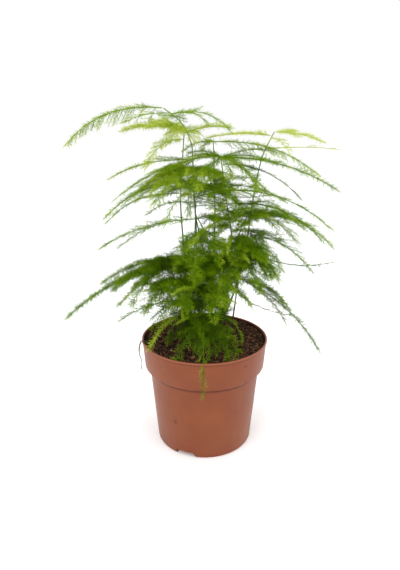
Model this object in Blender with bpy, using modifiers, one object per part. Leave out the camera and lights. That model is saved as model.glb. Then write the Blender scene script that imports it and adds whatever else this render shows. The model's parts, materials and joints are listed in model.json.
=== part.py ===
"""Potted lace fern (asparagus fern) in a round moulded nursery pot.

Metres, +Z up. The origin is the middle of the pot's underside, the front of the plant is -Y.
The pot, the growing mix and the two rootstocks are turned shapes; each stem is a thin tube and
each frond is a thin arching blade that follows the flat spray of one side branch.
"""
import math

import bmesh
import bpy
from mathutils import Matrix, Vector

MM = 0.001

# ---- driving dimensions -------------------------------------------------------------------------
POT_HEIGHT = 105 * MM
RIM_RADIUS = 60 * MM            # outer radius at the top of the collar
COLLAR_FOOT_RADIUS = 57.7 * MM  # outer radius at the bottom of the collar
COLLAR_HEIGHT = 26.5 * MM
STEP_DEPTH = 4.8 * MM           # how far the collar stands out from the tapered wall
STEP_HEIGHT = 4.2 * MM          # height of the sloping step under the collar
BASE_RADIUS = 46.5 * MM
WALL = 1.4 * MM
RIM_ROUND = 0.6 * MM
BASE_ROUND = 1.6 * MM
FLOOR_RAISE = 4.6 * MM          # the floor stands this far above the table
FOOT_RING_WIDTH = 3.4 * MM
BOSS_RADIUS = 13 * MM           # middle of the floor, which reaches down to the table
NOTCH_COUNT = 3
NOTCH_WIDTH = 17 * MM
NOTCH_SLOPE = 3.5 * MM          # run of the sloping end of a notch
NOTCH_FIRST_ANGLE = math.radians(246)
DRAIN_COUNT = 6
DRAIN_RADIUS = 4 * MM
DRAIN_CIRCLE = 28 * MM
TURN_STEPS = 48

MERGE = 0.01 * MM
GAP = 0.3 * MM                  # clearance between pieces that touch
SOIL_DROP = 3.5 * MM            # growing mix below the rim at the wall
SOIL_CROWN = 2.5 * MM           # how much the mix is mounded in the middle

ROOTSTOCK_DEPTH = 16 * MM
ROOTSTOCK_RISE = 1 * MM         # how far a rootstock shows above the mix
MAIN_ROOTSTOCK = (0.0, -2 * MM, 17 * MM)     # x, y, radius
BACK_ROOTSTOCK = (25 * MM, 38 * MM, 10 * MM)

STEM_RADIUS = 1.0 * MM          # at the root; the tip is half of that
STEM_UPRIGHT = 3 * MM           # a stem leaves its rootstock upright for this far
STEM_POINT_SPACING = 14 * MM
BLADE_THICKNESS = 0.8 * MM
BLADE_ROOT_HALF_WIDTH = 1.1 * MM
BLADE_TIP_HALF_WIDTH = 0.9 * MM
BLADE_FOLD = 0.14               # how far the two halves of a blade hang, per width
BLADE_SEGMENTS = 8

SOIL_LEVEL = POT_HEIGHT - SOIL_DROP

# Each stem: the places that it passes through, in millimetres across, back and above the mix.
STEMS = {
    "stem_leader": [(-4, -2), (-6, 0, 50), (-8, 2, 112), (-10, 3, 150), (-12, 3, 182), (-20, 2, 198),
                    (-35, 2, 210)],
    "stem_left": [(-11, 4), (-16, 9, 50), (-20, 12, 95), (-22, 13, 131), (-20, 13, 165),
                  (-18, 13, 193)],
    "stem_middle": [(4, -1), (8, -1, 50), (9, -1, 115), (8, -1, 160), (7, -1, 183)],
    "stem_right": [(12, 2), (28, 6, 45), (38, 8, 85), (41, 8, 112), (46, 8, 150), (52, 8, 175),
                   (60, 8, 191)],
    "stem_slanting": [(9, -8), (20, -10, 45), (24, -12, 95), (20, -12, 125), (13, -12, 171)],
    "stem_slender": [(-7, -8), (-10, -12, 50), (-9, -14, 100), (-8, -15, 138)],
    "stem_crossing": [(3, -11), (7, -18, 60), (3, -22, 100), (-6, -24, 121)],
    "stem_low_left": [(-12, -6), (-19, -9, 30), (-26, -10, 62)],
    "stem_low_front": [(-1, -14), (0, -20, 28), (1, -24, 60)],
    "stem_back_inner": [(20, 36), (24, 38, 45), (32, 34, 90), (42, 30, 117)],
    "stem_back_outer": [(30, 38), (33, 40, 30), (36, 38, 56)],
    "stem_back_tall": [(19, 42), (4, 46, 60), (-8, 44, 110), (-12, 42, 156)],
}

# Each frond: its stem, its height on the stem, the direction it points (degrees, 0 is +X, 270 is
# the front), its length, its slope at the root and at the tip (degrees), its half width, and how
# far its direction turns towards the tip (degrees). Lengths are millimetres.
FRONDS = {
    "frond_leader_arch": ("stem_leader", 210, 180, 90, 10, -48, 15, 0),
    "frond_top_right": ("stem_leader", 205, 352, 52, 20, -48, 15, -10),
    "frond_top_left": ("stem_leader", 206, 222, 42, 5, -25, 12, 0),
    "frond_top_back": ("stem_leader", 203, 85, 60, 14, -32, 15, 0),
    "frond_crest_left": ("stem_left", 193, 184, 50, 18, -20, 15, 8),
    "frond_crest_right": ("stem_left", 190, 12, 40, 24, -12, 11, 0),
    "frond_crest_front": ("stem_left", 185, 230, 55, 6, -52, 13, 10),
    "frond_pale_right": ("stem_right", 191, 5, 40, 4, -25, 11, 0),
    "frond_pale_left": ("stem_right", 188, 178, 54, 10, -14, 10, 0),
    "frond_pale_front": ("stem_right", 186, 280, 42, 4, -30, 11, 0),
    "frond_runner_right": ("stem_right", 177, 352, 56, 6, -6, 4, 0),
    "frond_long_right": ("stem_middle", 183, 350, 90, 6, -38, 11, 0),
    "frond_dark_right": ("stem_slanting", 171, 346, 97, 3, -32, 12, 0),
    "frond_dark_thin": ("stem_slanting", 165, 328, 72, 6, -42, 7, 0),
    "frond_inner_right": ("stem_slanting", 148, 6, 52, 4, -34, 11, 0),
    "frond_broad_left_upper": ("stem_leader", 168, 188, 72, 6, -30, 14, -16),
    "frond_broad_left_middle": ("stem_leader", 150, 202, 82, 8, -45, 20, 0),
    "frond_broad_left_lower": ("stem_left", 138, 170, 76, 6, -48, 17, 0),
    "frond_broad_front": ("stem_leader", 160, 240, 62, 4, -48, 17, 0),
    "frond_arching_right": ("stem_slender", 138, 336, 118, 22, -42, 14, 10),
    "frond_lower_left": ("stem_crossing", 121, 194, 82, 4, -32, 13, 0),
    "frond_lower_front": ("stem_crossing", 112, 262, 56, 2, -55, 15, 0),
    "frond_skirt_left": ("stem_left", 78, 186, 124, -8, -44, 22, 0),
    "frond_skirt_back_left": ("stem_left", 70, 158, 88, 4, -48, 18, 0),
    "frond_low_left_side": ("stem_low_left", 44, 190, 54, 2, -34, 14, 0),
    "frond_low_left_over": ("stem_low_left", 30, 222, 46, 2, -62, 8, 0),
    "frond_core_front_left": ("stem_low_left", 62, 236, 48, 18, -58, 16, 0),
    "frond_core_arch": ("stem_low_front", 60, 350, 44, 22, -62, 11, 0),
    "frond_core_front": ("stem_slanting", 84, 262, 58, 6, -60, 17, 0),
    "frond_core_right": ("stem_slanting", 98, 322, 50, 6, -58, 15, 0),
    "frond_front_left_tuft": ("stem_low_front", 26, 232, 44, -4, -58, 11, 0),
    "frond_front_over_rim": ("stem_low_front", 34, 268, 82, 8, -88, 11, 0),
    "frond_front_right_tuft": ("stem_low_front", 24, 305, 46, -2, -60, 12, 0),
    "frond_right_tier": ("stem_back_inner", 117, 346, 84, 8, -46, 17, 0),
    "frond_right_upper": ("stem_right", 130, 318, 74, 4, -42, 15, 0),
    "frond_right_lower": ("stem_right", 102, 334, 66, 2, -52, 15, 0),
    "frond_right_runner": ("stem_right", 88, 352, 78, -30, 14, 4, 0),
    "frond_right_drooping": ("stem_back_outer", 50, 342, 108, -18, -60, 11, 0),
    "frond_right_trailing": ("stem_back_outer", 34, 354, 58, -38, -6, 4, 0),
    "frond_back_right": ("stem_back_tall", 140, 40, 66, 8, -44, 18, 0),
    "frond_back_middle": ("stem_back_tall", 158, 88, 60, 10, -46, 18, 0),
    "frond_back_left": ("stem_back_tall", 126, 140, 66, 6, -36, 18, 0),
    "frond_back_low_left": ("stem_back_tall", 86, 112, 60, 4, -54, 16, 0),
}

YOUNG = ("frond_crest", "frond_pale", "frond_top", "frond_leader", "frond_runner", "frond_low_left_over")
DARK = ("frond_skirt", "frond_core", "frond_front", "frond_back", "frond_right_low", "frond_lower_front")


# ---- shared tools -------------------------------------------------------------------------------
def clear_scene():
    for obj in list(bpy.data.objects):
        bpy.data.objects.remove(obj, do_unlink=True)


def collection(name):
    made = bpy.data.collections.new(name)
    bpy.context.scene.collection.children.link(made)
    return made


def material(name, colour, roughness, metallic=0.0):
    made = bpy.data.materials.new(name)
    made.use_nodes = True
    shader = made.node_tree.nodes["Principled BSDF"]
    shader.inputs["Base Color"].default_value = (*colour, 1.0)
    shader.inputs["Roughness"].default_value = roughness
    shader.inputs["Metallic"].default_value = metallic
    made.diffuse_color = (*colour, 1.0)
    return made


def add_object(name, data, target):
    obj = bpy.data.objects.new(name, data)
    target.objects.link(obj)
    return obj


def smooth(mesh, degrees=35):
    mesh.shade_smooth()
    mesh.set_sharp_from_angle(angle=math.radians(degrees))


def turned(name, profile, target, steps=TURN_STEPS):
    """A solid of revolution about Z. The profile starts on the axis, runs out over the upper
    side, down the outer side and back to the axis underneath."""
    shape = bmesh.new()
    points = [shape.verts.new((radius, 0.0, height)) for radius, height in profile]
    for first, second in zip(points, points[1:]):
        shape.edges.new((first, second))
    mesh = bpy.data.meshes.new(name)
    shape.to_mesh(mesh)
    shape.free()
    obj = add_object(name, mesh, target)
    screw = obj.modifiers.new("Turn", "SCREW")
    screw.axis = "Z"
    screw.angle = math.tau
    screw.steps = steps
    screw.render_steps = steps
    screw.use_merge_vertices = True
    screw.merge_threshold = MERGE
    return obj


def arc(centre_radius, centre_height, radius, start, end, steps=3):
    """Points of an arc in a profile, with its angles in degrees."""
    angles = [math.radians(start + (end - start) * i / steps) for i in range(steps + 1)]
    return [(centre_radius + radius * math.cos(a), centre_height + radius * math.sin(a))
            for a in angles]


def cut(obj, cutter):
    cutter.hide_render = True
    cutter.display_type = "WIRE"
    step = obj.modifiers.new("Cut", "BOOLEAN")
    step.operation = "DIFFERENCE"
    step.solver = "EXACT"
    step.object = cutter


# ---- pot ----------------------------------------------------------------------------------------
def wall_line(inset):
    """The outer side of the pot's wall, top to bottom, moved in by the inset."""
    collar_foot = POT_HEIGHT - COLLAR_HEIGHT
    step_radius = COLLAR_FOOT_RADIUS - STEP_DEPTH
    return [(RIM_RADIUS - inset, POT_HEIGHT),
            (COLLAR_FOOT_RADIUS - inset, collar_foot),
            (step_radius - inset, collar_foot - STEP_HEIGHT),
            (BASE_RADIUS - inset, 0.0)]


def wall_radius(height, inset):
    """The radius of that line at one height."""
    line = wall_line(inset)
    for (upper_radius, upper), (lower_radius, lower) in zip(line, line[1:]):
        if lower <= height <= upper:
            share = (height - lower) / (upper - lower)
            return lower_radius + share * (upper_radius - lower_radius)
    raise ValueError("height outside the pot")


def pot_profile():
    floor_top = FLOOR_RAISE + WALL
    outer = wall_line(0.0)
    inner = wall_line(WALL)
    ring_inner = BASE_RADIUS - FOOT_RING_WIDTH
    rim_centre = POT_HEIGHT - RIM_ROUND
    profile = [(0.0, floor_top)]
    profile.append((wall_radius(floor_top, WALL), floor_top))
    profile += [inner[2], inner[1]]
    profile += arc(inner[0][0] + RIM_ROUND, rim_centre, RIM_ROUND, 180, 90, 2)
    profile += arc(outer[0][0] - RIM_ROUND, rim_centre, RIM_ROUND, 90, 0, 2)
    profile += [outer[1], outer[2]]
    profile += arc(BASE_RADIUS - BASE_ROUND, BASE_ROUND, BASE_ROUND, 0, -90, 3)
    profile.append((ring_inner, 0.0))
    profile.append((ring_inner, FLOOR_RAISE))
    profile.append((BOSS_RADIUS, FLOOR_RAISE))
    profile.append((BOSS_RADIUS, 0.0))
    profile.append((0.0, 0.0))
    return profile


def notch_cutter(number, target):
    """A low wedge across the foot ring: upright at one end, sloping at the other."""
    angle = NOTCH_FIRST_ANGLE + number * math.tau / NOTCH_COUNT
    middle = BASE_RADIUS - FOOT_RING_WIDTH / 2
    shape = bmesh.new()
    bmesh.ops.create_cube(shape, size=1.0, matrix=Matrix.Diagonal(
        (3 * FOOT_RING_WIDTH, NOTCH_WIDTH, 2 * FLOOR_RAISE, 1.0)))
    for vertex in shape.verts:
        if vertex.co.y > 0 and vertex.co.z < 0:
            vertex.co.y += 2 * NOTCH_SLOPE
    mesh = bpy.data.meshes.new("notch_cutter")
    shape.to_mesh(mesh)
    shape.free()
    wedge = add_object("notch_cutter_%d" % number, mesh, target)
    wedge.location = (middle * math.cos(angle), middle * math.sin(angle), 0.0)
    wedge.rotation_euler = (0.0, 0.0, angle)
    return wedge


def drain_cutter(number, target):
    """A round hole down through the raised floor."""
    angle = (number + 0.5) * math.tau / DRAIN_COUNT
    shape = bmesh.new()
    bmesh.ops.create_cone(shape, cap_ends=True, segments=16, radius1=DRAIN_RADIUS,
                          radius2=DRAIN_RADIUS, depth=4 * WALL)
    mesh = bpy.data.meshes.new("drain_cutter")
    shape.to_mesh(mesh)
    shape.free()
    hole = add_object("drain_cutter_%d" % number, mesh, target)
    hole.location = (DRAIN_CIRCLE * math.cos(angle), DRAIN_CIRCLE * math.sin(angle),
                     FLOOR_RAISE + WALL / 2)
    return hole


def build_pot(parts, cutters):
    pot = turned("pot", pot_profile(), parts)
    for number in range(NOTCH_COUNT):
        cut(pot, notch_cutter(number, cutters))
    for number in range(DRAIN_COUNT):
        cut(pot, drain_cutter(number, cutters))
    pot.data.materials.append(material("terracotta_plastic", (0.33, 0.117, 0.055), 0.45))
    return pot


# ---- growing mix and rootstocks -----------------------------------------------------------------
def soil_height(radius):
    """The mounded surface of the growing mix."""
    share = radius / wall_radius(SOIL_LEVEL, WALL)
    return SOIL_LEVEL + SOIL_CROWN * (1.0 - share * share)


def rootstock_profile(radius, clearance):
    """A knob with a flat top, which stands at height zero."""
    wide = radius + clearance
    return [(0.0, 0.0),
            (0.88 * radius + clearance, 0.0),
            (wide, -2 * MM),
            (0.86 * radius + clearance, 0.6 * -ROOTSTOCK_DEPTH),
            (0.0, -ROOTSTOCK_DEPTH - clearance)]


def rootstock_top(place):
    across, back, _ = place
    return soil_height(math.hypot(across, back)) + ROOTSTOCK_RISE


def build_rootstock(name, place, parts):
    stock = turned(name, rootstock_profile(place[2], 0.0), parts, 20)
    stock.location = (place[0], place[1], rootstock_top(place))
    stock.data.materials.append(material(name + "_bark", (0.10, 0.055, 0.03), 0.9))
    return stock


def pocket_cutter(name, place, target):
    """The rootstock's own shape with a clearance, open upwards."""
    profile = rootstock_profile(place[2], GAP)
    opening = 3 * ROOTSTOCK_RISE
    profile = [(0.0, opening), (profile[2][0], opening)] + profile[2:]
    pocket = turned(name, profile, target, 20)
    pocket.location = (place[0], place[1], rootstock_top(place))
    return pocket


def soil_profile():
    clearance = WALL + GAP
    line = wall_line(clearance)
    floor = FLOOR_RAISE + WALL + GAP
    edge = wall_radius(SOIL_LEVEL, clearance)
    surface = [(edge * share, soil_height(edge * share)) for share in (0.0, 0.3, 0.55, 0.8)]
    return surface + [(edge, SOIL_LEVEL), line[1], line[2],
                      (wall_radius(floor, clearance), floor), (0.0, floor)]


def build_soil(parts, cutters):
    soil = turned("growing_mix", soil_profile(), parts)
    cut(soil, pocket_cutter("pocket_main", MAIN_ROOTSTOCK, cutters))
    cut(soil, pocket_cutter("pocket_back", BACK_ROOTSTOCK, cutters))
    soil.data.materials.append(material("peat_and_coir", (0.035, 0.018, 0.009), 0.95))
    return soil


# ---- stems --------------------------------------------------------------------------------------
def smooth_between(before, start, end, after, share):
    """One point of a smooth curve that passes through start and end."""
    square = share * share
    cube = square * share
    return (start * 2 + (end - before) * share
            + (before * 2 - start * 5 + end * 4 - after) * square
            + (start * 3 - before - end * 3 + after) * cube) / 2


def stem_points(name):
    """The stem's axis, from the flat top of its rootstock up through its places."""
    root, *places = STEMS[name]
    stock = BACK_ROOTSTOCK if name.startswith("stem_back") else MAIN_ROOTSTOCK
    foot = Vector((root[0] * MM, root[1] * MM, rootstock_top(stock) + GAP))
    start = foot + Vector((0.0, 0.0, STEM_UPRIGHT))
    route = [start] + [Vector((x * MM, y * MM, SOIL_LEVEL + z * MM)) for x, y, z in places]
    padded = [foot] + route + [route[-1] * 2 - route[-2]]
    points = [foot, start]
    for index in range(1, len(route)):
        before, first, second, after = padded[index - 1:index + 3] if index > 1 else (
            foot, route[0], route[1], padded[3])
        count = max(1, round((second - first).length / STEM_POINT_SPACING))
        for step in range(1, count + 1):
            points.append(smooth_between(before, first, second, after, step / count))
    return points


def stem_place(points, height):
    """Where a stem reaches a height above the growing mix."""
    level = SOIL_LEVEL + height * MM
    for lower, upper in zip(points, points[1:]):
        if lower.z <= level <= upper.z:
            return lower.lerp(upper, (level - lower.z) / (upper.z - lower.z))
    return points[-1].copy()


def build_stem(name, points, parts, finish):
    curve = bpy.data.curves.new(name, "CURVE")
    curve.dimensions = "3D"
    curve.bevel_depth = STEM_RADIUS
    curve.bevel_resolution = 2
    curve.use_fill_caps = True
    line = curve.splines.new("POLY")
    line.points.add(len(points) - 1)
    for index, point in enumerate(points):
        line.points[index].co = (*point, 1.0)
        line.points[index].radius = 1.0 - 0.5 * index / (len(points) - 1)
    curve.materials.append(finish)
    return add_object(name, curve, parts)


# ---- fronds -------------------------------------------------------------------------------------
def blade_half_width(share, half_width):
    """The outline of a frond: narrow at its stem, widest near a fifth, drawn out to the tip."""
    opening = min(1.0, share / 0.22) ** 0.8
    closing = (1.0 - share) ** 0.7
    smallest = BLADE_ROOT_HALF_WIDTH + share * (BLADE_TIP_HALF_WIDTH - BLADE_ROOT_HALF_WIDTH)
    return max(smallest, half_width * opening * closing)


def blade_path(start, heading, length, rise, fall, turn):
    """Points and headings along the middle of a frond, which bends evenly from root to tip."""
    path = [(start, math.radians(heading))]
    place = start
    for index in range(BLADE_SEGMENTS):
        share = (index + 0.5) / BLADE_SEGMENTS
        slope = math.radians(rise + (fall - rise) * share)
        around = math.radians(heading + turn * share)
        flat = math.cos(slope)
        step = Vector((flat * math.cos(around), flat * math.sin(around), math.sin(slope)))
        place = place + step * (length / BLADE_SEGMENTS)
        path.append((place, around))
    return path


def build_frond(name, points, parts, finish):
    _, height, heading, length, rise, fall, half_width, turn = FRONDS[name]
    around = math.radians(heading)
    slope = math.radians(rise)
    outward = Vector((math.cos(slope) * math.cos(around), math.cos(slope) * math.sin(around),
                      math.sin(slope)))
    start = stem_place(points, height) + outward * (STEM_RADIUS + GAP)
    path = blade_path(start, heading, length * MM, rise, fall, turn)
    shape = bmesh.new()
    bmesh.ops.create_grid(shape, x_segments=BLADE_SEGMENTS, y_segments=2, size=0.5)
    for vertex in shape.verts:
        index = round((vertex.co.x + 0.5) * BLADE_SEGMENTS)
        side = vertex.co.y * 2
        place, facing = path[index]
        reach = blade_half_width(index / BLADE_SEGMENTS, half_width * MM)
        across = Vector((-math.sin(facing), math.cos(facing), 0.0)) * (side * reach)
        vertex.co = place + across - Vector((0.0, 0.0, BLADE_FOLD * reach * abs(side)))
    mesh = bpy.data.meshes.new(name)
    shape.to_mesh(mesh)
    shape.free()
    smooth(mesh)
    mesh.materials.append(finish)
    blade = add_object(name, mesh, parts)
    shell = blade.modifiers.new("Thickness", "SOLIDIFY")
    shell.thickness = BLADE_THICKNESS
    shell.offset = 0.0
    return blade


# ---- assembly -----------------------------------------------------------------------------------
def build():
    clear_scene()
    parts = collection("potted_lace_fern")
    cutters = collection("cutters")
    build_pot(parts, cutters)
    build_soil(parts, cutters)
    build_rootstock("rootstock_main", MAIN_ROOTSTOCK, parts)
    build_rootstock("rootstock_back", BACK_ROOTSTOCK, parts)
    stem_finish = material("green_stem", (0.06, 0.10, 0.015), 0.6)
    young = material("young_foliage", (0.30, 0.48, 0.06), 0.6)
    grown = material("grown_foliage", (0.14, 0.30, 0.02), 0.6)
    dark = material("dark_foliage", (0.06, 0.17, 0.01), 0.6)
    axes = {name: stem_points(name) for name in STEMS}
    for name, points in axes.items():
        build_stem(name, points, parts, stem_finish)
    for name in FRONDS:
        finish = young if name.startswith(YOUNG) else dark if name.startswith(DARK) else grown
        build_frond(name, axes[FRONDS[name][0]], parts, finish)


build()
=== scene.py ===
"""Potted lace fern: the looks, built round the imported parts."""
import json
import math
import random

import bmesh
import bpy
import numpy as np
from mathutils import Matrix, Vector, noise


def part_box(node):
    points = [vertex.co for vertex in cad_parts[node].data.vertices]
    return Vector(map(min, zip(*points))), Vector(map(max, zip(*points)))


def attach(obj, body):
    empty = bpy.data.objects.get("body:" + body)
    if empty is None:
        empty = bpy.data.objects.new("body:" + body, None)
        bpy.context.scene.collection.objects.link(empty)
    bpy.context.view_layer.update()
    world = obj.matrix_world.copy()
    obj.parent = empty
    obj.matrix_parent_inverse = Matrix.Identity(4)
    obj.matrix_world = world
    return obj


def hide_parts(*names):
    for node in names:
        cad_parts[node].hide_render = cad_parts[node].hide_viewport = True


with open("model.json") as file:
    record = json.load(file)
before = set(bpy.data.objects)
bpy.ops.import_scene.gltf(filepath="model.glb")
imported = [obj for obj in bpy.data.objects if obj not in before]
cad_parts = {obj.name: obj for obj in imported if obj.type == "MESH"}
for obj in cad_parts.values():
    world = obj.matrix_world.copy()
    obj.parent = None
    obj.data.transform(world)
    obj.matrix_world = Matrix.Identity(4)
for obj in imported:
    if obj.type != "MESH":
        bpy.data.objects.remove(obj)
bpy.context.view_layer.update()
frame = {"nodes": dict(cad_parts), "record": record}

MM = 0.001
draw = random.Random(71)

# ---- Pot ------------------------------------------------------------------------------------------
# A nursery pot, injection-moulded in terracotta-coloured polypropylene: a tall collar, a sloping
# step and a tapered wall in one thin moulding. The foot ring has three drain notches, and the
# raised floor has round drain holes and a middle that reaches down to the table.
_, POT_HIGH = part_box("pot")
POT_HEIGHT = POT_HIGH.z
RIM_RADIUS = POT_HIGH.x
COLLAR_FOOT_RADIUS = 57.7 * MM
COLLAR_HEIGHT = 26.5 * MM
STEP_DEPTH = 4.8 * MM
STEP_HEIGHT = 4.2 * MM
BASE_RADIUS = 46.5 * MM
WALL = 1.4 * MM
FLOOR_RAISE = 4.6 * MM
FOOT_RING_WIDTH = 3.4 * MM
BOSS_RADIUS = 13 * MM
HUB = 2 * MM
LIP_PROUD = 0.15 * MM
LIP_ROLL = 0.3 * MM
LIP_HEIGHT = 1.5 * MM
LIP_GROOVE = 0.45 * MM
POT_SIDES = 144


def rest_selection():
    """Leave edit mode with nothing selected, so that the next operator acts on its own piece."""
    if bpy.context.object and bpy.context.object.mode == "EDIT":
        bpy.ops.object.mode_set(mode="OBJECT")
    bpy.ops.object.select_all(action="DESELECT")


def pick(body, *others):
    """Select a piece, with any others, and make it the active one."""
    rest_selection()
    for each in (body, *others):
        each.select_set(True)
    bpy.context.view_layer.objects.active = body


def next_ring(radius, height, from_radius, from_height):
    """Extrude the open ring to its next radius and height."""
    bpy.ops.mesh.extrude_region_move(
        TRANSFORM_OT_translate={"value": (0.0, 0.0, height - from_height)})
    grow = radius / from_radius
    bpy.ops.transform.resize(value=(grow, grow, 1.0), center_override=(0.0, 0.0, 0.0))


def extruded_rings(name, rings, sides):
    """A round body, drawn ring by ring from its top middle to its underside and closed there."""
    rest_selection()
    radius, height = rings[0]
    bpy.ops.mesh.primitive_circle_add(vertices=sides, radius=radius, fill_type="NGON",
                                      location=(0.0, 0.0, height))
    body = bpy.context.object
    body.name = name
    bpy.ops.object.transform_apply(location=True)
    bpy.ops.object.mode_set(mode="EDIT")
    bpy.ops.mesh.select_mode(type="EDGE")
    bpy.ops.mesh.select_all(action="SELECT")
    for new_radius, new_height in rings[1:]:
        shape = bmesh.from_edit_mesh(body.data)
        for face in shape.faces:
            face.select = False
        for edge in shape.edges:
            edge.select = edge.is_boundary
        bmesh.update_edit_mesh(body.data)
        next_ring(new_radius, new_height, radius, height)
        radius, height = new_radius, new_height
    bpy.ops.mesh.edge_face_add()
    bpy.ops.mesh.select_all(action="SELECT")
    bpy.ops.mesh.normals_make_consistent(inside=False)
    bpy.ops.object.mode_set(mode="OBJECT")
    return body


def bevel_ring(body, radius, height, width, segments):
    """Round over one ring of edges."""
    pick(body)
    bpy.ops.object.mode_set(mode="EDIT")
    bpy.ops.mesh.select_mode(type="EDGE")
    bpy.ops.mesh.select_all(action="DESELECT")
    shape = bmesh.from_edit_mesh(body.data)
    near = 0.05 * MM
    for edge in shape.edges:
        on_ring = [abs(math.hypot(v.co.x, v.co.y) - radius) < near and abs(v.co.z - height) < near
                   for v in edge.verts]
        edge.select = all(on_ring)
    bmesh.update_edit_mesh(body.data)
    bpy.ops.mesh.bevel(offset=width, segments=segments, affect="EDGES")
    bpy.ops.object.mode_set(mode="OBJECT")


def cut_away(body, cutter):
    """Cut one piece by another and throw the cutter away."""
    step = body.modifiers.new("cut", "BOOLEAN")
    step.operation = "DIFFERENCE"
    step.solver = "EXACT"
    step.object = cutter
    rest_selection()
    bpy.context.view_layer.objects.active = body
    bpy.ops.object.modifier_apply(modifier="cut")
    bpy.data.objects.remove(cutter, do_unlink=True)


rim_inside = RIM_RADIUS - WALL
collar_foot = POT_HEIGHT - COLLAR_HEIGHT
step_foot = collar_foot - STEP_HEIGHT
step_radius = COLLAR_FOOT_RADIUS - STEP_DEPTH
floor_top = FLOOR_RAISE + WALL
floor_share = floor_top / step_foot
floor_radius = BASE_RADIUS - WALL + floor_share * (step_radius - BASE_RADIUS)
pot = extruded_rings("pot_moulding", [
    (HUB, floor_top),
    (floor_radius, floor_top),
    (step_radius - WALL, step_foot),
    (COLLAR_FOOT_RADIUS - WALL, collar_foot),
    (RIM_RADIUS - WALL, POT_HEIGHT),
    (RIM_RADIUS, POT_HEIGHT),
    (RIM_RADIUS + LIP_PROUD, POT_HEIGHT - LIP_ROLL),
    (RIM_RADIUS + LIP_PROUD, POT_HEIGHT - LIP_HEIGHT),
    (RIM_RADIUS - LIP_GROOVE, POT_HEIGHT - LIP_HEIGHT - LIP_GROOVE),
    (COLLAR_FOOT_RADIUS, collar_foot),
    (step_radius, step_foot),
    (BASE_RADIUS, 0.0),
    (BASE_RADIUS - FOOT_RING_WIDTH, 0.0),
    (BASE_RADIUS - FOOT_RING_WIDTH, FLOOR_RAISE),
    (BOSS_RADIUS, FLOOR_RAISE),
    (BOSS_RADIUS, 0.0),
    (HUB, 0.0)], POT_SIDES)
for ring_radius, ring_height, width, segments in (
        (RIM_RADIUS, POT_HEIGHT, 0.25 * MM, 2),
        (RIM_RADIUS - WALL, POT_HEIGHT, 0.55 * MM, 3),
        (COLLAR_FOOT_RADIUS, collar_foot, 0.7 * MM, 3),
        (BASE_RADIUS, 0.0, 1.6 * MM, 5),
        (BOSS_RADIUS, 0.0, 0.4 * MM, 2)):
    bevel_ring(pot, ring_radius, ring_height, width, segments)

NOTCH_COUNT = 3
NOTCH_FIRST_ANGLE = math.radians(246)
NOTCH_ANGLES = [NOTCH_FIRST_ANGLE + n * math.tau / NOTCH_COUNT for n in range(NOTCH_COUNT)]
NOTCH_WIDTH = 17 * MM
NOTCH_SLOPE = 3.5 * MM
for notch_angle in NOTCH_ANGLES:
    rest_selection()
    bpy.ops.mesh.primitive_cube_add(size=1.0)
    wedge = bpy.context.object
    wedge.scale = (3 * FOOT_RING_WIDTH, NOTCH_WIDTH, 2 * FLOOR_RAISE)
    bpy.ops.object.transform_apply(scale=True)
    for vertex in wedge.data.vertices:
        if vertex.co.y > 0 and vertex.co.z < 0:
            vertex.co.y += 2 * NOTCH_SLOPE
    reach = BASE_RADIUS - FOOT_RING_WIDTH / 2
    wedge.location = (reach * math.cos(notch_angle), reach * math.sin(notch_angle), 0.0)
    wedge.rotation_euler = (0.0, 0.0, notch_angle)
    bpy.context.view_layer.update()
    cut_away(pot, wedge)

DRAIN_COUNT = 6
DRAIN_CIRCLE = 28 * MM
DRAIN_RADIUS = 4 * MM
for number in range(DRAIN_COUNT):
    turn = (number + 0.5) * math.tau / DRAIN_COUNT
    rest_selection()
    bpy.ops.mesh.primitive_cylinder_add(
        vertices=32, radius=DRAIN_RADIUS, depth=4 * WALL,
        location=(DRAIN_CIRCLE * math.cos(turn), DRAIN_CIRCLE * math.sin(turn),
                  FLOOR_RAISE + WALL / 2))
    cut_away(pot, bpy.context.object)


def finish_smooth(body, degrees=32):
    """Smooth shading, with creases kept where the surface turns by more than the angle."""
    pick(body)
    bpy.ops.object.shade_smooth_by_angle(angle=math.radians(degrees))
    body.select_set(False)


finish_smooth(pot)


def linear(hex_colour):
    """An sRGB hex colour as linear values."""
    parts = [int(hex_colour[i:i + 2], 16) / 255 for i in (1, 3, 5)]
    return tuple(p / 12.92 if p <= 0.04045 else ((p + 0.055) / 1.055) ** 2.4 for p in parts) + (1.0,)


def add_node(material, kind, links=None, inputs=None, **settings):
    """One node with its settings, its plain input values and the links into it."""
    tree = material.node_tree
    made = tree.nodes.new(kind)
    for key, value in settings.items():
        setattr(made, key, value)
    for key, value in (inputs or {}).items():
        made.inputs[key].default_value = value
    for key, source in (links or {}).items():
        tree.links.new(source, made.inputs[key])
    return made


def new_material(name, roughness, ior=1.46, specular=0.5):
    """A material and its main shader."""
    made = bpy.data.materials.new(name)
    made.use_nodes = True
    shader = made.node_tree.nodes["Principled BSDF"]
    shader.inputs["Roughness"].default_value = roughness
    shader.inputs["IOR"].default_value = ior
    shader.inputs["Specular IOR Level"].default_value = specular
    return made, shader


def colour_ramp(material, source, stops):
    """A colour ramp with its stops as (place, hex colour)."""
    ramp = add_node(material, "ShaderNodeValToRGB", links={"Fac": source})
    while len(ramp.color_ramp.elements) < len(stops):
        ramp.color_ramp.elements.new(0.5)
    for element, (place, shade) in zip(ramp.color_ramp.elements, stops):
        element.position = place
        element.color = linear(shade)
    return ramp.outputs["Color"]


def noise_pattern(material, place, scale, detail, roughness=0.5):
    """Cloudy noise as a value."""
    return add_node(material, "ShaderNodeTexNoise", links={"Vector": place},
                    inputs={"Scale": scale, "Detail": detail, "Roughness": roughness}).outputs["Fac"]


def spread(material, source, low, high, start=0.0, end=1.0):
    """A value between low and high turned into one between start and end."""
    return add_node(material, "ShaderNodeMapRange", links={"Value": source},
                    inputs={"From Min": low, "From Max": high, "To Min": start,
                            "To Max": end}).outputs["Result"]


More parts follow.
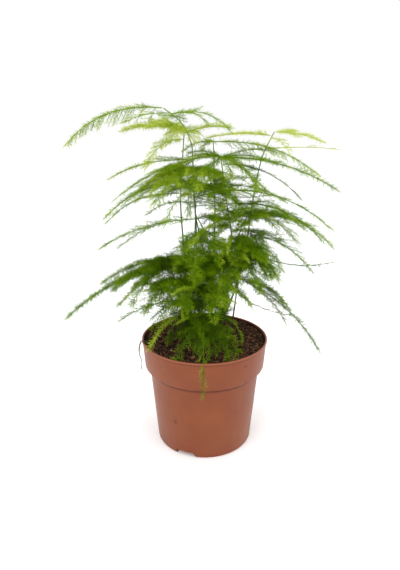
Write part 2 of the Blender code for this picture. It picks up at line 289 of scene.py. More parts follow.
def times(material, first, second):
    """The product of two values."""
    return add_node(material, "ShaderNodeMath", operation="MULTIPLY",
                    links={0: first, 1: second}).outputs["Value"]


def raised(material, height, strength, distance, **onto):
    """The normals of a skin raised by a pattern, over another such skin if one is given."""
    return add_node(material, "ShaderNodeBump", links={"Height": height, **onto},
                    inputs={"Strength": strength, "Distance": distance}).outputs["Normal"]


def mix_colours(material, links, factor=None, second=None, blend="MIX"):
    """A colour mix; its factor or its second colour may be set instead of linked."""
    made = add_node(material, "ShaderNodeMix", data_type="RGBA", blend_type=blend, links=links)
    if factor is not None:
        made.inputs["Factor"].default_value = factor
    if second is not None:
        made.inputs["B"].default_value = linear(second)
    return made.outputs["Result"]


def dress(body, finish):
    """Give a piece one finish and no other."""
    body.data.materials.clear()
    body.data.materials.append(finish)


# Marks on the wall, each with its angle, height, distance from the axis, size, strength and colour.
POT_MARKS = [
    (237, 36 * MM, 49.6 * MM, 3.2 * MM, 0.9, "#6A2A10"),
    (307, 96 * MM, 59.2 * MM, 2.4 * MM, 0.9, "#6A2A10"),
    (309, 80 * MM, 57.9 * MM, 2.0 * MM, 0.8, "#7A2A18"),
    (327, 57 * MM, 51.6 * MM, 6.0 * MM, 0.45, "#55502A"),
    (330, 66 * MM, 52.3 * MM, 4.0 * MM, 0.35, "#55502A"),
    (232, 93 * MM, 59.0 * MM, 5.0 * MM, 0.22, "#6E5A3A"),
    (262, 24 * MM, 48.6 * MM, 2.5 * MM, 0.20, "#6A2A10")]


# Moulded polypropylene: the pigment clouds a little over some 30 mm, the skin has a fine satin
# ripple, and handling leaves dull rubs and a few darker specks.
def moulded_polypropylene():
    made, shader = new_material("moulded_polypropylene", 0.42, ior=1.49, specular=0.35)
    place = add_node(made, "ShaderNodeTexCoord").outputs["Object"]
    tone = colour_ramp(made, noise_pattern(made, place, 34.0, 4.0, 0.55),
                       [(0.30, "#7C3A19"), (0.50, "#813F1C"), (0.70, "#864521")])
    cell = add_node(made, "ShaderNodeTexVoronoi", links={"Vector": place}, inputs={"Scale": 95.0})
    speck = spread(made, cell.outputs["Distance"], 0.05, 0.11, 1.0, 0.0)
    chance = add_node(made, "ShaderNodeSeparateColor", links={"Color": cell.outputs["Color"]})
    rare = add_node(made, "ShaderNodeMath", links={0: chance.outputs["Red"]}, inputs={1: 0.86},
                    operation="GREATER_THAN")
    shown = times(made, speck, rare.outputs["Value"])
    spotted = mix_colours(made, {"Factor": shown, "A": tone}, second="#7A3A26")
    height = add_node(made, "ShaderNodeSeparateXYZ", links={"Vector": place}).outputs["Z"]
    # Painted shade: the colour darkens in a band around the crease at the foot of the step.
    level = spread(made, height, step_foot - 2.2 * MM, step_foot + 2.2 * MM)
    crease = colour_ramp(made, level,
                         [(0.0, "#FFFFFF"), (0.40, "#BC8E74"), (0.54, "#8E5238"), (0.86, "#FFFFFF")])
    crease_shaded = mix_colours(made, {"A": spotted, "B": crease}, 0.8, blend="MULTIPLY")
    flat = add_node(made, "ShaderNodeVectorMath", operation="MULTIPLY", links={0: place},
                    inputs={1: (1.0, 1.0, 0.0)})
    reach = add_node(made, "ShaderNodeVectorMath", operation="LENGTH",
                     links={0: flat.outputs["Vector"]})
    inside = spread(made, reach.outputs["Value"], rim_inside + 0.1 * MM, rim_inside + 0.4 * MM,
                    1.0, 0.0)
    top = spread(made, height, POT_HEIGHT - 10 * MM, POT_HEIGHT)
    band = colour_ramp(made, top,
                       [(0.0, "#000000"), (0.1, "#E8E8E8"), (0.86, "#E8E8E8"), (0.95, "#000000")])
    # Painted shade: a thin darker line just under the lip, at the groove below the rim.
    lip = colour_ramp(made, top,
                      [(0.70, "#FFFFFF"), (0.78, "#A08070"), (0.83, "#C0A090"), (0.86, "#FFFFFF")])
    groove_shaded = mix_colours(made, {"A": crease_shaded, "B": lip}, 0.75, blend="MULTIPLY")
    # Painted highlight: a lighter band along the face of the lip at the top of the rim.
    edge = colour_ramp(made, top,
                       [(0.84, "#000000"), (0.88, "#A0A0A0"), (0.99, "#A0A0A0")])
    rim_highlighted = mix_colours(made, {"Factor": edge, "A": groove_shaded}, second="#B06A4C")
    # Painted shade: the inner wall is darkened to near-black brown in a band below the rim.
    inner_wall_shade = times(made, inside, band)
    surface = mix_colours(made, {"Factor": inner_wall_shade, "A": rim_highlighted}, second="#2E1A10")
    for turn, height, out, size, strength, shade in POT_MARKS:
        spot = (out * math.cos(math.radians(turn)), out * math.sin(math.radians(turn)), height)
        away = add_node(made, "ShaderNodeVectorMath", operation="DISTANCE", links={0: place},
                        inputs={1: spot})
        mark = spread(made, away.outputs["Value"], 0.25 * size, size, strength, 0.0)
        surface = mix_colours(made, {"Factor": mark, "A": surface}, second=shade)
    made.node_tree.links.new(surface, shader.inputs["Base Color"])
    tall = add_node(made, "ShaderNodeMapping", links={"Vector": place},
                    inputs={"Scale": (260.0, 260.0, 22.0)})
    rub = noise_pattern(made, tall.outputs["Vector"], 1.0, 3.0)
    dull = spread(made, rub, 0.35, 0.7, 0.40, 0.48)
    made.node_tree.links.new(dull, shader.inputs["Roughness"])
    fine = raised(made, noise_pattern(made, place, 900.0, 2.0), 0.12, 0.3 * MM)
    ripple = raised(made, noise_pattern(made, place, 26.0, 1.0), 0.25, 1.2 * MM, Normal=fine)
    made.node_tree.links.new(ripple, shader.inputs["Normal"])
    return made


dress(pot, moulded_polypropylene())
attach(pot, "root")
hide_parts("pot")

# ---- Growing mix ----------------------------------------------------------------------------------
# Peat and coir, pressed in by a potting machine and settled by watering: a crumbly mound almost
# level with the rim, which shrinks from the wall and leaves a dark line there.
_, MIX_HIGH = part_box("growing_mix")
MIX_GAP = 0.3 * MM
RIM_CLEARANCE = 0.3 * MM
MIX_RING = 1.25 * MM
MIX_SIDES = 150
mix_edge = rim_inside - MIX_GAP - RIM_CLEARANCE
SOIL_DROP = 3.5 * MM
MIX_EDGE_HEIGHT = POT_HEIGHT - SOIL_DROP
MIX_MOUND = MIX_HIGH.z - MIX_EDGE_HEIGHT
CLOD_SWELL = 1.3 * MM
CRUMB_SWELL = 0.6 * MM
BACK_HEAP = 1.4 * MM
SHRINK_WIDTH = 2.2 * MM
SHRINK_DEPTH = 0.9 * MM


def mix_height(x, y):
    """The uneven surface of the mix: a low mound, clods some 9 mm across and crumbs of 2 mm."""
    radius = math.hypot(x, y)
    share = min(1.0, radius / mix_edge)
    mound = MIX_EDGE_HEIGHT + MIX_MOUND * (1 - share * share)
    clods = noise.noise(Vector((x, y, 0.3)) * 110) * CLOD_SWELL
    crumbs = noise.noise(Vector((x, y, 0.9)) * 420) * CRUMB_SWELL
    shrink = max(0.0, (radius - mix_edge + SHRINK_WIDTH) / SHRINK_WIDTH) * SHRINK_DEPTH
    heap = BACK_HEAP * max(0.0, (0.4 * x + y) / mix_edge)
    return mound + clods + crumbs + heap - shrink


mix_rings = [(MIX_RING, MIX_HIGH.z)]
while mix_rings[-1][0] + MIX_RING < mix_edge:
    mix_rings.append((mix_rings[-1][0] + MIX_RING, MIX_HIGH.z))
mix_rings += [(mix_edge, MIX_HIGH.z), (COLLAR_FOOT_RADIUS - WALL - MIX_GAP, collar_foot),
              (step_radius - WALL - MIX_GAP, step_foot),
              (floor_radius - MIX_GAP, floor_top + MIX_GAP), (HUB, floor_top + MIX_GAP)]
growing_mix = extruded_rings("mix_surface", mix_rings, MIX_SIDES)
for vertex in growing_mix.data.vertices:
    if vertex.co.z > MIX_HIGH.z - 0.01 * MM:
        vertex.co.z = mix_height(vertex.co.x, vertex.co.y)
finish_smooth(growing_mix, 60)


# Damp peat: redder fibre on the crumbs and nearly black between them; the black between them is partly
# painted shade.
def damp_peat():
    made, shader = new_material("damp_peat", 0.92, specular=0.25)
    place = add_node(made, "ShaderNodeTexCoord").outputs["Object"]
    crumb = add_node(made, "ShaderNodeTexVoronoi", links={"Vector": place}, inputs={"Scale": 620.0})
    grain = times(made, crumb.outputs["Distance"], noise_pattern(made, place, 260.0, 6.0, 0.7))
    tone = colour_ramp(made, grain, [(0.02, "#5B3F2A"), (0.16, "#3C2719"), (0.34, "#1F130C")])
    made.node_tree.links.new(tone, shader.inputs["Base Color"])
    made.node_tree.links.new(raised(made, grain, 0.9, 1.2 * MM), shader.inputs["Normal"])
    return made


dress(growing_mix, damp_peat())
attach(growing_mix, "root")
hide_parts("growing_mix")


# ---- Loose bits on the mix ------------------------------------------------------------------------
# Crumbs of peat, coir fibres, chips of bark and a few grains of white perlite lie on the surface.
# Each kind is shaped once, in a few forms, and scattered; its colour runs along its own UV map.
def shaped(body):
    """A finished form as arrays: its corners, its triangles and the UV of each triangle corner."""
    mesh = body.data
    mesh.calc_loop_triangles()
    corners = np.array([v.co for v in mesh.vertices])
    triangles = np.array([t.vertices for t in mesh.loop_triangles])
    loops = np.array([t.loops for t in mesh.loop_triangles])
    tints = np.array([item.uv for item in mesh.uv_layers["OFBake"].data])[loops]
    return corners, triangles, tints


def tint_along(body, axis, low, high):
    """Lay the form's UV map: along the first axis for U, a narrow band across for V."""
    layer = body.data.uv_layers.get("OFBake") or body.data.uv_layers.new(name="OFBake")
    first = (axis + 1) % 3
    for loop in body.data.loops:
        at = body.data.vertices[loop.vertex_index].co
        along = (at[axis] - low) / (high - low)
        layer.data[loop.index].uv = (min(1.0, max(0.0, along)), 4.0 * at[first])


def gathered(name, forms, chosen, places, shades):
    """Copies of the forms at their places (4x4 matrices), as one mesh of its own. A copy's shade
    sets its V on the UV map."""
    corner_sets, face_sets, tint_sets = [], [], []
    base = 0
    for index, (corners, triangles, tints) in enumerate(forms):
        at = np.flatnonzero(chosen == index)
        if not len(at):
            continue
        turned = np.einsum("nij,vj->nvi", places[at][:, :3, :3], corners)
        turned += places[at][:, None, :3, 3]
        corner_sets.append(turned.reshape(-1, 3))
        offsets = base + np.arange(len(at)) * len(corners)
        face_sets.append((triangles[None] + offsets[:, None, None]).reshape(-1, 3))
        tint = np.repeat(tints[None], len(at), axis=0)
        tint[..., 1] = 0.02 + 0.96 * np.clip(shades[at][:, None, None] + tint[..., 1], 0, 1)
        tint_sets.append(tint.reshape(-1, 2))
        base += len(at) * len(corners)
    corners, faces = np.concatenate(corner_sets), np.concatenate(face_sets)
    mesh = bpy.data.meshes.new(name)
    mesh.vertices.add(len(corners))
    mesh.vertices.foreach_set("co", corners.astype(np.float32).ravel())
    mesh.loops.add(faces.size)
    mesh.loops.foreach_set("vertex_index", faces.astype(np.int32).ravel())
    mesh.polygons.add(len(faces))
    mesh.polygons.foreach_set("loop_start", np.arange(0, faces.size, 3, dtype=np.int32))
    mesh.update(calc_edges=True)
    layer = mesh.uv_layers.new(name="OFBake")
    layer.data.foreach_set("uv", np.concatenate(tint_sets).astype(np.float32).ravel())
    made = bpy.data.objects.new(name, mesh)
    bpy.context.scene.collection.objects.link(made)
    return made


def placed(origin, size, spin):
    """A matrix that turns a form at random, sizes it and puts it down."""
    turn = Matrix.Rotation(spin.uniform(0, math.tau), 4, "Z") @ Matrix.Rotation(
        spin.uniform(-0.7, 0.7), 4, "X") @ Matrix.Rotation(spin.uniform(-0.7, 0.7), 4, "Y")
    return np.array(Matrix.Translation(origin) @ turn @ Matrix.Diagonal((*size, 1.0)))


def rough_lump(spin, jitter):
    """A crumb of about 1 mm: a low sphere with its corners pushed in and out."""
    rest_selection()
    bpy.ops.mesh.primitive_ico_sphere_add(subdivisions=1, radius=0.5 * MM)
    lump = bpy.context.object
    for vertex in lump.data.vertices:
        vertex.co *= spin.uniform(1 - jitter, 1 + jitter)
    tint_along(lump, 2, -0.5 * MM, 0.5 * MM)
    form = shaped(lump)
    bpy.data.objects.remove(lump, do_unlink=True)
    return form


FIBRE_LENGTH = 10 * MM
FIBRE_RADIUS = 0.16 * MM


def fibre(spin):
    """A coir fibre: a thin three-sided rod, subdivided and bent."""
    rest_selection()
    bpy.ops.mesh.primitive_cylinder_add(vertices=3, radius=FIBRE_RADIUS, depth=FIBRE_LENGTH,
                                        rotation=(0.0, math.pi / 2, 0.0))
    rod = bpy.context.object
    bpy.ops.object.transform_apply(rotation=True)
    bpy.ops.object.mode_set(mode="EDIT")
    for share in (-0.3, -0.1, 0.1, 0.3):
        bpy.ops.mesh.select_all(action="SELECT")
        bpy.ops.mesh.bisect(plane_co=(share * FIBRE_LENGTH, 0, 0), plane_no=(1, 0, 0))
    bpy.ops.object.mode_set(mode="OBJECT")
    sway, rise, phase = spin.uniform(-2, 2), spin.uniform(0.3, 1.2), spin.uniform(0, 3)
    for vertex in rod.data.vertices:
        along = vertex.co.x / (FIBRE_LENGTH / 2)
        vertex.co.y += sway * MM * along * along + 0.5 * MM * math.sin(3 * along + phase)
        vertex.co.z += rise * MM * (1 - along * along)
    tint_along(rod, 0, -FIBRE_LENGTH / 2, FIBRE_LENGTH / 2)
    form = shaped(rod)
    bpy.data.objects.remove(rod, do_unlink=True)
    return form


CHIP_SIZE = (3 * MM, 1.8 * MM, 0.7 * MM)
CHIP_EDGE = 0.18 * MM


def bark_chip(spin):
    """A flake of bark: a flattened cube with its corners moved and its edges cut."""
    rest_selection()
    bpy.ops.mesh.primitive_cube_add(size=1.0)
    chip = bpy.context.object
    chip.scale = CHIP_SIZE
    bpy.ops.object.transform_apply(scale=True)
    for vertex in chip.data.vertices:
        vertex.co.x *= spin.uniform(0.6, 1.1)
        vertex.co.y *= spin.uniform(0.5, 1.1)
    bpy.ops.object.mode_set(mode="EDIT")
    bpy.ops.mesh.select_all(action="SELECT")
    bpy.ops.mesh.bevel(offset=CHIP_EDGE, segments=1, affect="EDGES")
    bpy.ops.object.mode_set(mode="OBJECT")
    tint_along(chip, 2, -CHIP_SIZE[2] / 2, CHIP_SIZE[2] / 2)
    form = shaped(chip)
    bpy.data.objects.remove(chip, do_unlink=True)
    return form


def scatter(name, forms, count, sizes, shade_range, sink, most_radius=0.985):
    """Drop forms over the mix, sunk a little into it, and clear of the wall."""
    places, chosen, shades = [], [], []
    for _ in range(count):
        around = draw.uniform(0, math.tau)
        size = draw.uniform(*sizes)
        stretch = (size * draw.uniform(0.8, 1.4), size * draw.uniform(0.7, 1.2), size * 0.8)
        reach = (mix_edge * most_radius - 0.6 * MM * size) * math.sqrt(draw.random())
        x, y = reach * math.cos(around), reach * math.sin(around)
        places.append(placed((x, y, mix_height(x, y) + sink * size * MM), stretch, draw))
        chosen.append(draw.randrange(len(forms)))
        shades.append(draw.uniform(*shade_range))
    return gathered(name, forms, np.array(chosen), np.array(places), np.array(shades))


def tinted(name, roughness, stops, specular=0.3, darker_base=0.0):
    """A finish whose colour follows the V of the piece's own UV map and darkens towards U = 0."""
    made, shader = new_material(name, roughness, specular=specular)
    chart = add_node(made, "ShaderNodeUVMap", uv_map="OFBake").outputs["UV"]
    parts = add_node(made, "ShaderNodeSeparateXYZ", links={"Vector": chart})
    tone = colour_ramp(made, parts.outputs["Y"], stops)
    depth = spread(made, parts.outputs["X"], 0.0, 1.0, 1.0 - darker_base, 1.0)
    shaded = mix_colours(made, {"A": tone, "B": depth}, 1.0, blend="MULTIPLY")
    made.node_tree.links.new(shaded, shader.inputs["Base Color"])
    return made


MIX_LAYERS = [
    ("mix_crumbs", [rough_lump(draw, 0.35) for _ in range(5)], 3000, (0.8, 2.8), (0.0, 1.0), 0.05,
     [(0.0, "#140B06"), (0.35, "#2C1A10"), (0.65, "#563622"), (1.0, "#8E623F")]),
    ("coir_fibres", [fibre(draw) for _ in range(5)], 420, (0.35, 1.0), (0.0, 1.0), 0.15,
     [(0.0, "#4A3220"), (0.5, "#7E5C3C"), (1.0, "#B4936C")]),
    ("bark_chips", [bark_chip(draw) for _ in range(4)], 260, (0.5, 1.5), (0.0, 1.0), 0.15,
     [(0.0, "#2A1A12"), (0.5, "#5E3F29"), (1.0, "#97714C")]),
    ("perlite_grains", [rough_lump(draw, 0.25) for _ in range(3)], 7, (0.9, 1.9), (0.3, 1.0), 0.3,
     [(0.0, "#9C968C"), (1.0, "#E2DED4")])]
# Painted shade: darker_base darkens each crumb, chip and perlite grain towards its underside.
for name, forms, count, sizes, shade_range, sink, stops in MIX_LAYERS:
    layer = scatter(name, forms, count, sizes, shade_range, sink)
    dress(layer, tinted(name + "_finish", 0.9, stops, 0.2, darker_base=0.35))
    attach(layer, "root")


# ---- Rootstocks -----------------------------------------------------------------------------------
# Two knobs of woody root crown that the stems rise from, half buried in the mix.
# Old bark: grown corky and wet, so it is matt and cracked, brown in the cracks and paler on the ridges.
def old_bark():
    made, shader = new_material("rootstock_old_bark", 0.9, specular=0.2)
    place = add_node(made, "ShaderNodeTexCoord").outputs["Object"]
    grain = noise_pattern(made, place, 420.0, 5.0, 0.65)
    tone = colour_ramp(made, grain, [(0.3, "#241609"), (0.5, "#4A3322"), (0.72, "#7A5D42")])
    made.node_tree.links.new(tone, shader.inputs["Base Color"])
    made.node_tree.links.new(raised(made, grain, 0.8, 1.5 * MM), shader.inputs["Normal"])
    return made


BARK = old_bark()
for name in ("rootstock_main", "rootstock_back"):
    low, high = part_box(name)
    rest_selection()
    bpy.ops.mesh.primitive_uv_sphere_add(segments=48, ring_count=24, radius=1.0)
    knob = bpy.context.object
    knob.name = name + "_knob"
    middle = (low + high) / 2
    half = (high - low) / 2
    for vertex in knob.data.vertices:
        lump = 0.86 + 0.16 * noise.noise(vertex.co * 2.6) + 0.05 * noise.noise(vertex.co * 7)
        flat = 1.0 if vertex.co.z < 0.3 else 0.9
        vertex.co = Vector((middle.x + vertex.co.x * half.x * lump,
                            middle.y + vertex.co.y * half.y * lump,
                            middle.z + vertex.co.z * half.z * lump * flat))
    finish_smooth(knob, 60)
    dress(knob, BARK)
    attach(knob, "root")
    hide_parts(name)


# ---- Stems ----------------------------------------------------------------------------------------
# Round wiry stems, green and satin above, browner at the foot, a little swollen at each node.
# Each follows the axis of its plain rod.
STEM_NAMES = sorted(n for n in frame["nodes"] if n.startswith("stem_"))
ROD_SIDES = 8
STEM_POINT_STEP = 3 * MM
CANE_RADIUS = 0.95 * MM
THIN_CANE_RADIUS = 0.65 * MM
KNUCKLE_EVERY = 5


def merged_corners(node):
    """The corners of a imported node, each once."""
    corners = np.array([v.co for v in frame["nodes"][node].data.vertices])
    keys = np.round(corners / (0.002 * MM)).astype(np.int64)
    _, first = np.unique(keys, axis=0, return_index=True)
    return corners[np.sort(first)]


def smooth_line(points, step):
    """Points at even steps along a smooth curve through the given ones."""
    points = np.asarray(points)
    padded = np.vstack([2 * points[0] - points[1], points, 2 * points[-1] - points[-2]])
    line = [points[0]]
    for i in range(1, len(points)):
        before, first, second, after = padded[i - 1:i + 3]
        count = max(1, int(round(np.linalg.norm(second - first) / step)))
        for share in np.arange(1, count + 1) / count:
            line.append(0.5 * (2 * first + (second - before) * share
                               + (2 * before - 5 * first + 4 * second - after) * share ** 2
                               + (3 * first - before - 3 * second + after) * share ** 3))
    return np.array(line)


def rod_axis(node):
    """The middle of each ring of a stem's rod, from the foot up."""
    corners = merged_corners(node)
    corners = corners[np.argsort(corners[:, 2])]
    count = len(corners) // ROD_SIDES
    return corners[:count * ROD_SIDES].reshape(count, ROD_SIDES, 3).mean(axis=1)


def tubes(name, runs, radius, resolution):
    """Round tubes along lines, each with its share of the radius at every point, as one mesh."""
    curve = bpy.data.curves.new(name, "CURVE")
    curve.dimensions = "3D"
    curve.bevel_depth = radius
    curve.bevel_resolution = resolution
    curve.use_fill_caps = True
    for line, shares in runs:
        run = curve.splines.new("POLY")
        run.points.add(len(line) - 1)
        for place, point, share in zip(run.points, line, shares):
            place.co = (*point, 1.0)
            place.radius = share
    body = bpy.data.objects.new(name, curve)
    bpy.context.scene.collection.objects.link(body)
    pick(body)
    bpy.ops.object.convert(target="MESH")
    return bpy.context.object


# Green cane: a living stem's waxy skin, satin, patchy green above and woody brown at the foot.
def green_cane():
    made, shader = new_material("green_cane", 0.5, ior=1.45)
    place = add_node(made, "ShaderNodeTexCoord").outputs["Object"]
    parts = add_node(made, "ShaderNodeSeparateXYZ", links={"Vector": place})
    level = spread(made, parts.outputs["Z"], 0.10, 0.30)
    patch = noise_pattern(made, place, 160.0, 3.0)
    mixed = add_node(made, "ShaderNodeMath", operation="MULTIPLY_ADD",
                     links={0: patch, 2: level}, inputs={1: 0.35})
    tone = colour_ramp(made, mixed.outputs["Value"],
                       [(0.16, "#43331A"), (0.36, "#33420F"), (0.75, "#3E5A12"), (1.0, "#6E8C2A")])
    made.node_tree.links.new(tone, shader.inputs["Base Color"])
    made.node_tree.links.new(raised(made, patch, 0.3, 0.4 * MM), shader.inputs["Normal"])
    return made


CANE = green_cane()
stem_lines = {}
for name in STEM_NAMES:
    line = smooth_line(rod_axis(name), STEM_POINT_STEP)
    stem_lines[name] = line
    thin = "low" in name or "slender" in name
    taper = [1.0 - 0.55 * (i / (len(line) - 1))
             + 0.10 * max(0.0, math.sin(i * math.tau / KNUCKLE_EVERY)) ** 6
             for i in range(len(line))]
    cane = tubes(name + "_cane", [(line, taper)], THIN_CANE_RADIUS if thin else CANE_RADIUS, 3)
    bpy.ops.object.mode_set(mode="EDIT")
    bpy.ops.mesh.select_all(action="SELECT")
    bpy.ops.mesh.remove_doubles(threshold=0.01 * MM)
    bpy.ops.mesh.normals_make_consistent(inside=False)
    bpy.ops.object.mode_set(mode="OBJECT")
    finish_smooth(cane, 50)
    dress(cane, CANE)
    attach(cane, "root")
    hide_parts(name)


# ---- Foliage --------------------------------------------------------------------------------------
# Each frond is a flat spray: a wiry midrib with side strands, and shorter strands on those, all
# clothed in tufts of needle-like cladodes 5 mm long, so that a strand looks like a thin bottle
# brush. One needle is drawn and copied into sprigs of strand, and the sprigs are set along every
# strand of a frond. Young sprays are yellow-green and old ones deep green; the deep greens inside
# the plant are partly painted shade.
NEEDLE_LENGTH = 4.8 * MM
NEEDLE_RADIUS = 0.18 * MM
SPRIG_LENGTH = 5.0 * MM
SPRIG_OVERLAP = 0.95
TUFTS = 3
NEEDLES_IN_TUFT = 3
SPRIG_FORMS = 6
TWIG_RADIUS = 0.14 * MM
BLADE_SECTIONS = 9
leaf_draw = random.Random(5)


def copy_of(body):
    """A copy of a piece with a mesh of its own."""
    twin = body.copy()
    twin.data = body.data.copy()
    bpy.context.scene.collection.objects.link(twin)
    return twin


def tint_by(body, shade):
    """Shift a form's V on its UV map."""
    for item in body.data.uv_layers["OFBake"].data:
        item.uv = (item.uv.x, item.uv.y + shade)


def sprig():
    """A bit of strand with its tufts: one needle copied, turned and joined to a twig."""
    rest_selection()
    bpy.ops.mesh.primitive_cone_add(vertices=3, radius1=NEEDLE_RADIUS, radius2=0.6 * NEEDLE_RADIUS,
                                    depth=NEEDLE_LENGTH, location=(NEEDLE_LENGTH / 2, 0.0, 0.0),
                                    end_fill_type="NOTHING", rotation=(0.0, math.pi / 2, 0.0))
    needle = bpy.context.object
    bpy.ops.object.transform_apply(location=True, rotation=True)
    tint_along(needle, 0, 0.0, NEEDLE_LENGTH)
    bpy.ops.mesh.primitive_cylinder_add(vertices=3, radius=TWIG_RADIUS, depth=SPRIG_LENGTH,
                                        location=(SPRIG_LENGTH / 2, 0.0, 0.0),
                                        rotation=(0.0, math.pi / 2, 0.0))
    twig = bpy.context.object
    bpy.ops.object.transform_apply(location=True, rotation=True)
    tint_along(twig, 0, 0.0, 12 * SPRIG_LENGTH)
    tint_by(twig, -0.1)
    copies = []
    for tuft in range(TUFTS):
        along = (tuft + 0.3) * SPRIG_LENGTH / TUFTS
        for number in range(NEEDLES_IN_TUFT):
            around = (number + 0.5 * (tuft % 2)) * math.tau / NEEDLES_IN_TUFT
            lean = math.radians(leaf_draw.uniform(40, 80))
            size = leaf_draw.uniform(0.65, 1.12)
            copied = copy_of(needle)
            copied.data.transform(
                Matrix.Translation((along, 0, 0))
                @ Matrix.Rotation(around + leaf_draw.uniform(-0.4, 0.4), 4, "X")
                @ Matrix.Rotation(lean, 4, "Z") @ Matrix.Scale(size, 4))
            tint_by(copied, leaf_draw.uniform(-0.07, 0.07))
            copies.append(copied)
    pick(twig, *copies)
    bpy.ops.object.join()
    form = shaped(twig)
    bpy.data.objects.remove(needle, do_unlink=True)
    bpy.data.objects.remove(twig, do_unlink=True)
    return form


SPRIGS = [sprig() for _ in range(SPRIG_FORMS)]
stem_cloud = np.vstack(list(stem_lines.values()))


def blade_line(node):
    """The middle of a frond's blade at each section, from the stem outwards."""
    corners = merged_corners(node)
    centre = corners.mean(axis=0)
    _, _, axes = np.linalg.svd(corners - centre)
    order = np.argsort((corners - centre) @ axes[0])
    sections = corners[order].reshape(BLADE_SECTIONS, -1, 3)
    middles = sections.mean(axis=1)
    ends = [np.linalg.norm(stem_cloud - middles[i], axis=1).min() for i in (0, -1)]
    return middles[::-1] if ends[1] < ends[0] else middles


def unit(vector):
    return vector / (np.linalg.norm(vector) + 1e-12)


UP = np.array([0.0, 0.0, 1.0])
NEEDLE_CLEARANCE = 1 * MM
ABOVE_MIX = 1.5 * MM
LONGEST_TWIG = 16 * MM
TWIGS_FROM_LENGTH = 13 * MM


def in_pot_wall(point):
    """Whether a point is in the wall of the pot or closer to it than a needle."""
    if point[2] > POT_HEIGHT + NEEDLE_CLEARANCE:
        return False
    taper = (POT_HEIGHT - point[2]) * (RIM_RADIUS - BASE_RADIUS) / POT_HEIGHT
    outside = RIM_RADIUS - taper * 0.5 + NEEDLE_CLEARANCE
    return rim_inside - 2 * NEEDLE_CLEARANCE < math.hypot(point[0], point[1]) < outside


